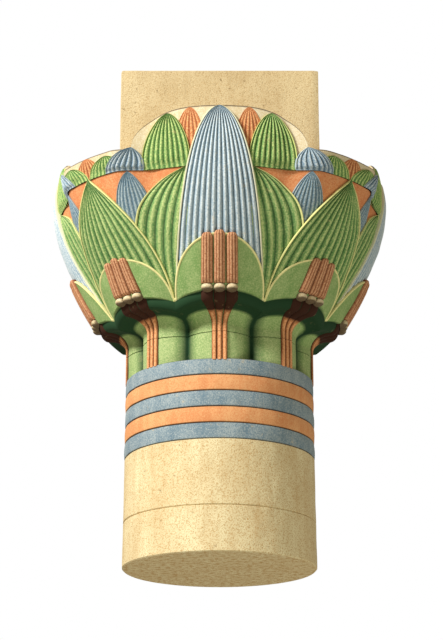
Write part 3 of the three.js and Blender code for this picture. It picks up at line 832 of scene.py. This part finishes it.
def widening(spread):
    """The width of a thin stem, which grows towards its knob."""
    return THIN_STEM_PITCH + (BUD_WIDTH - THIN_STEM_PITCH) * spread


def parting(spread):
    """The pitch of the thin stems, which part towards their knobs."""
    return THIN_STEM_PITCH + (BUD_PITCH - THIN_STEM_PITCH) * spread


high_path = lip_path()
stone_piece(
    "thin_stems_above_joint", [thin_stem(*at, high_path, widening, parting) for at in TRIOS],
    STEM_RED, "painted_stone", "bell_block",
)
stone_piece(
    "buds", [bud(*at) for at in TRIOS],
    painted(
        "bud_red_paint", colour(202, 142, 102), colour(170, 108, 74), colour(230, 180, 138),
        colour(92, 46, 30), wear=0.1, depth=0.8,
    ),
    "painted_stone", "bell_block",
)
stone_piece(
    "knobs", [knob(*at) for at in TRIOS],
    painted(
        "knob_cream_paint", colour(234, 218, 178), colour(206, 182, 136), colour(246, 234, 204),
        BROWN_LINE, wear=0.1,
    ),
    "painted_stone", "bell_block",
)


# The great blue umbels, one on each face: tall half ellipses carved in the bell block, with a thin
# cream margin. Their fine ribs run from the calyx to the top of the rim and meet at the tip.
GREAT_PROUD = (0.054, 0.036)
FACE_UMBEL_WIDTH = 0.600
GREAT_MARGIN = 0.013
FACES = (0.0, 90.0, 180.0, 270.0)
CORNERS = (45.0, 135.0, 225.0, 315.0)
SIDES = (-1, 1)


def umbel(centre, spread, foot, tip, proud, ribs, margin, depth, ramp, rows=70, per_rib=10):
    """An umbel as rings across it. Its middle and half its spread are angles at a share t of its
    height, whose rows crowd towards the tip. Ribs are rounds side by side inside the margin, and the
    margin is a raised bead. The whole is domed over the bell, from crown to edge, and clears it at
    its lowest; of two leaves that cross at the foot the prouder lies on top. The marks paint the rib
    crests pale as painted highlights and the hollows between them dark as painted shade; these lines
    blur where they meet at the tip."""
    crown, edge = proud
    t = np.sin(np.radians(np.linspace(0, 90, rows)))[:, None]
    z = foot + (tip - foot) * t
    half = spread(t)
    width = np.radians(half) * bell_radius(z)
    inner = 1 - np.minimum(margin / np.maximum(width, 1e-4), 0.4)
    across = np.linspace(-1, 1, ribs * per_rib + 1)[None, :]
    bead = np.array([[0.1, 0.3, 0.5, 0.7, 0.9, 1.0]])
    side = inner + (1 - inner) * bead
    s = np.concatenate([-side[:, ::-1], across * inner, side], axis=1)
    local = ((across + 1) / 2 * ribs) % 1 * 2 - 1
    rib = 1 - np.abs(local) ** 1.6
    swell = 0.007 * np.sqrt(np.clip(1 - (2 * bead - 1) ** 2, 0, 1)) - 0.004
    tall, flat = np.ones_like(t), np.zeros_like(bead)
    fade = np.clip(width / (ribs * 0.007), 0, 1)
    sunk = -depth * (1 - rib) * fade * np.minimum(1, 1.5 * ramp(t))
    relief = np.concatenate([swell[:, ::-1] * tall, sunk, swell * tall], axis=1)
    angle = centre(t) + s * half
    least = np.where(z < TIER, 0.003, TIER_LEDGE + 0.003 + 0.1 * crown)
    rise = np.maximum((crown + (edge - crown) * s**2) * ramp(t) * (1 - 0.5 * t**10) + relief, least)
    front = weathered(polar(angle, ground(angle, z) + rise, z), 0.0016, 0.11)
    ends = angle[:, [-1, 0]]
    deep = polar(ends, ground(ends, z) - BACK_DEPTH, z)
    clear = np.clip(width / (ribs * 0.011), 0, 1)
    # Painted highlight on the rib crests and painted shade in the hollows between the ribs.
    drawn = 0.45 + (0.55 - rib) * clear
    lines_and_shading = np.concatenate([(flat + 0.5) * tall, drawn, (flat + 0.5) * tall, tall, tall], axis=1)
    edged = np.concatenate([(flat + 1) * tall, 0 * across * tall, (flat + 1) * tall, tall, tall], axis=1)
    return np.concatenate([front, deep], axis=1), {"lines_and_shading": lines_and_shading, "margin": edged}


def great_ramp(t):
    """How far a great umbel stands out along its height: it rises from behind its calyx."""
    return 0.6 + 0.4 * smooth(t, 0.15, 0.65)


def face_umbel(face):
    """The blue umbel of a face: a half ellipse."""
    tip = float(arch_top(face)) - 0.012

    def spread(t):
        half = FACE_UMBEL_WIDTH / 2 * np.sqrt(np.clip(1 - t**1.75, 0, 1))
        return 0.12 + np.degrees(half / bell_radius(LIP + (tip - LIP) * t))

    return umbel(
        lambda t: face, spread, LIP, tip, GREAT_PROUD, 13, GREAT_MARGIN, 0.015, great_ramp, rows=72
    )


stone_piece(
    "face_umbels", [face_umbel(face) for face in FACES],
    painted(
        "umbel_blue_paint", colour(184, 202, 211), colour(152, 177, 191), colour(230, 236, 236),
        BLUE_LINE, colour(228, 224, 190), depth=0.75,
    ),
    "painted_stone", "bell_block",
)


# The great green umbels, one on each corner: broad fans of ribs that come to a point on the tier.
# They are carved in the bell block like the blue ones, and their yellow margins stand a little proud.
UMBEL_GREEN = painted(
    "umbel_green_paint", colour(140, 178, 108), colour(102, 150, 84), colour(212, 222, 150),
    colour(36, 82, 44), colour(240, 236, 160),
)


def corner_umbel(corner):
    """The green umbel of a corner: its sides curve in to a point."""
    def spread(t):
        return 0.12 + (PLANT_HALF + 0.3) * np.clip(1 - t**1.75, 0, 1)

    return umbel(
        lambda t: corner, spread, LIP, TIER - 0.003, GREAT_PROUD, 11, GREAT_MARGIN, 0.015, great_ramp,
        rows=66,
    )


stone_piece(
    "corner_umbels", [corner_umbel(corner) for corner in CORNERS],
    UMBEL_GREEN, "painted_stone", "bell_block",
)


# The sepals: two green leaves to a face, carved in the bell block. They rise from behind the calyxes
# on each side of the blue umbel and lean in against it, and only their outer parts show.
def sepal(face, side):
    """A sepal: a ribbed leaf that leans towards its face as it rises."""
    return umbel(
        lambda t: face + side * (PLANT_HALF - 10.8 * t**2),
        lambda t: 0.12 + 12.5 * np.clip(1 - t**7.5, 0, 1),
        LIP, TIER - 0.004, (0.023, 0.023), 7, 0.012, 0.011,
        lambda t: 0.35 + 0.65 * smooth(t, 0.2, 0.7), rows=60, per_rib=8,
    )


stone_piece(
    "sepals", [sepal(face, side) for face in FACES for side in SIDES],
    UMBEL_GREEN, "painted_stone", "bell_block",
)


# The small umbels: narrow ribbed leaves, carved in the bell block. A blue one on each side of a
# corner fills the ground under the tier, and on the tier stands a ring of green, blue and red ones,
# each overlapping the next.
SMALL_BLUE = painted(
    "small_blue_paint", colour(156, 178, 190), colour(118, 146, 168), colour(212, 220, 222),
    BLUE_LINE, colour(176, 190, 196),
)
SMALL_GREEN = painted(
    "small_green_paint", colour(144, 180, 106), colour(104, 152, 82), colour(212, 222, 144),
    colour(38, 84, 40), colour(206, 212, 130),
)
SMALL_RED = painted(
    "small_red_paint", colour(216, 142, 92), colour(184, 106, 64), colour(244, 190, 132),
    colour(112, 52, 30), colour(206, 132, 84),
)


def small_umbel(middle, lean, half, foot, tip, proud, ribs, power=0.62, full=0.16):
    """A small umbel: its sides run up nearly straight and round over to its tip. It is low at its foot,
    and stands out in full from a share of its height, which is greater where another leaf covers it."""
    def ramp(t):
        return 0.3 + 0.7 * smooth(t, 0, full)

    return umbel(
        lambda t: middle + lean * t, lambda t: 0.12 + half * np.clip(1 - t**2, 0, 1) ** power,
        foot, tip, (proud, 0.65 * proud), ribs, 0.006, 0.36 * proud, ramp, rows=44, per_rib=8,
    )


def small_row(name, material, middle, lean, half, drop, proud, ribs, power=0.62, full=0.16):
    """One kind of small umbel, to the left and the right of each face, with its tip a drop below the
    rim."""
    lofts = [
        small_umbel(
            face + side * middle, side * lean, half, TIER, float(rim_height(face + side * middle)) - drop,
            proud, ribs, power, full,
        )
        for face in FACES for side in SIDES
    ]
    stone_piece(name, lofts, material, "painted_stone", "bell_block")


small_row("upper_red_umbels", SMALL_RED, 9.8, 0.4, 5.6, 0.012, 0.014, 6, 0.56, 0.6)
small_row("upper_green_umbels", SMALL_GREEN, 17.7, 0.2, 8.2, 0.020, 0.032, 9)
small_row("upper_corner_green_umbels", SMALL_GREEN, 38.2, -1.1, 6.5, 0.032, 0.022, 8, full=0.5)
small_row("upper_blue_umbels", SMALL_BLUE, 31.8, -3.1, 5.9, -0.008, 0.036, 7, 0.9)
stone_piece(
    "upper_corner_red_umbels",
    [small_umbel(corner, 0, 5.2, TIER, CORNER_RIM - 0.008, 0.013, 6, full=0.6) for corner in CORNERS],
    SMALL_RED, "painted_stone", "bell_block",
)
stone_piece(
    "lower_blue_umbels",
    [
        small_umbel(face + side * 30.8, -0.3 * side, 6.9, TIER - 0.36, TIER - 0.006, 0.016, 8, 0.8, 0.8)
        for face in FACES for side in SIDES
    ],
    painted(
        "lower_blue_paint", colour(134, 158, 168), colour(100, 130, 148), colour(192, 204, 206),
        BLUE_LINE, colour(160, 176, 182),
    ),
    "painted_stone", "bell_block",
)


# The abacus: a plain square block that bears on the bell's bed and carries the beam. Its faces are
# flat, its arrises a little rubbed, and its top is cut off flat where the beam rests.
ABACUS_LOW, ABACUS_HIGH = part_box("abacus")
ABACUS_ARRIS = 0.008


def rubbed_block():
    """A square block as rings of a square: out over the bed, round the arris, up the face and in over
    the top."""
    half = ABACUS_HIGH.x
    side = np.linspace(-1, 1, 61)[:-1] * (half - ABACUS_ARRIS)
    flat = np.full(60, half)
    sides = ((side, -flat), (flat, side), (-side, flat), (-flat, -side))
    ring = np.concatenate([np.stack(pair, axis=1) for pair in sides])
    cap = np.array([0.05, 0.2, 0.4, 0.6, 0.8, 0.9, 0.96, 1 - ABACUS_ARRIS / half])
    scale = np.concatenate([cap, np.ones(26), cap[::-1]])
    face = np.linspace(ABACUS_LOW.z + ABACUS_ARRIS, ABACUS_HIGH.z - ABACUS_ARRIS, 26)
    z = np.concatenate([np.full(8, ABACUS_LOW.z), face, np.full(8, ABACUS_HIGH.z)])
    points = np.empty((len(z), len(ring), 3))
    points[..., :2] = ring[None] * scale[:, None, None]
    points[..., 2] = z[:, None]
    return weathered(points, 0.0012, 0.2)


stone_piece(
    "abacus_block", [(rubbed_block(), {})],
    bare_stone("abacus_sandstone", colour(222, 203, 160), colour(178, 148, 100), 0.75),
    "sandstone", "abacus",
)


# The studio: a pale floor that is seen only from above, a soft key light from the left in front, a
# weaker one from below, a white surround, and the camera low in front of the shaft.
def floor():
    """A pale disc under the shaft, that neither shades nor mirrors in the stone."""
    mesh = bpy.data.meshes.new("floor")
    a = np.linspace(0, 2 * math.pi, 64, endpoint=False)
    mesh.from_pydata([(9 * math.cos(x), 9 * math.sin(x), -0.002) for x in a], [], [tuple(range(64))])
    material = bpy.data.materials.new("floor")
    material.use_nodes = True
    tree = material.node_tree
    shader = tree.nodes["Principled BSDF"]
    shader.inputs["Base Color"].default_value = colour(236, 234, 228)
    shader.inputs["Roughness"].default_value = 0.9
    clear = node(tree, "BsdfTransparent")
    turn = node(tree, "NewGeometry").outputs["Backfacing"]
    both = node(tree, "MixShader", None, i0=turn, i1=shader.outputs[0], i2=clear.outputs[0])
    tree.links.new(both.outputs[0], tree.nodes["Material Output"].inputs["Surface"])
    mesh.materials.append(material)
    made = bpy.data.objects.new("floor", mesh)
    bpy.context.scene.collection.objects.link(made)
    made.visible_diffuse = made.visible_glossy = made.visible_transmission = made.visible_shadow = False
    return made


def lamp(name, energy, size, place, target, tint):
    """A square area light at a place, turned to a target."""
    light = bpy.data.lights.new(name, "AREA")
    light.energy, light.size, light.color = energy, size, tint
    made = bpy.data.objects.new(name, light)
    bpy.context.scene.collection.objects.link(made)
    made.location = place
    x, y, z = np.array(target) - np.array(place)
    made.rotation_euler = (math.atan2(math.hypot(x, y), -z), 0, math.atan2(-x, y))
    return made


key = lamp("key", 2000, 2.4, (-8.2, -7.4, 8.0), (0, 0, 1.9), (1.0, 0.985, 0.95))
fill = lamp("fill", 350, 4.0, (3.4, -8.6, -8.2), (0, 0, 2.0), (0.96, 1.0, 0.86))
floor()

world = bpy.data.worlds.new("studio")
world.use_nodes = True
tree = world.node_tree
seen, lit = tree.nodes["Background"], tree.nodes.new("ShaderNodeBackground")
seen.inputs[0].default_value, seen.inputs[1].default_value = (1, 1, 1, 1), 1.0
lit.inputs[0].default_value, lit.inputs[1].default_value = (1.0, 0.92, 0.76, 1), 0.37
path = node(tree, "LightPath").outputs["Is Camera Ray"]
mixed = node(tree, "MixShader", None, i0=path, i1=lit.outputs[0], i2=seen.outputs[0])
tree.links.new(mixed.outputs[0], tree.nodes["World Output"].inputs["Surface"])
bpy.context.scene.world = world
bpy.context.scene.view_settings.view_transform = "Standard"

camera = bpy.data.objects.new("camera", bpy.data.cameras.new("camera"))
camera.data.lens, camera.data.sensor_width = 105.97, 36.0
camera.data.shift_x = 0.003
camera.location = (0.0, -12.9756, -2.4277)
camera.rotation_euler = (math.radians(90 + 18.16), 0, 0)
bpy.context.scene.collection.objects.link(camera)
bpy.context.scene.camera = camera
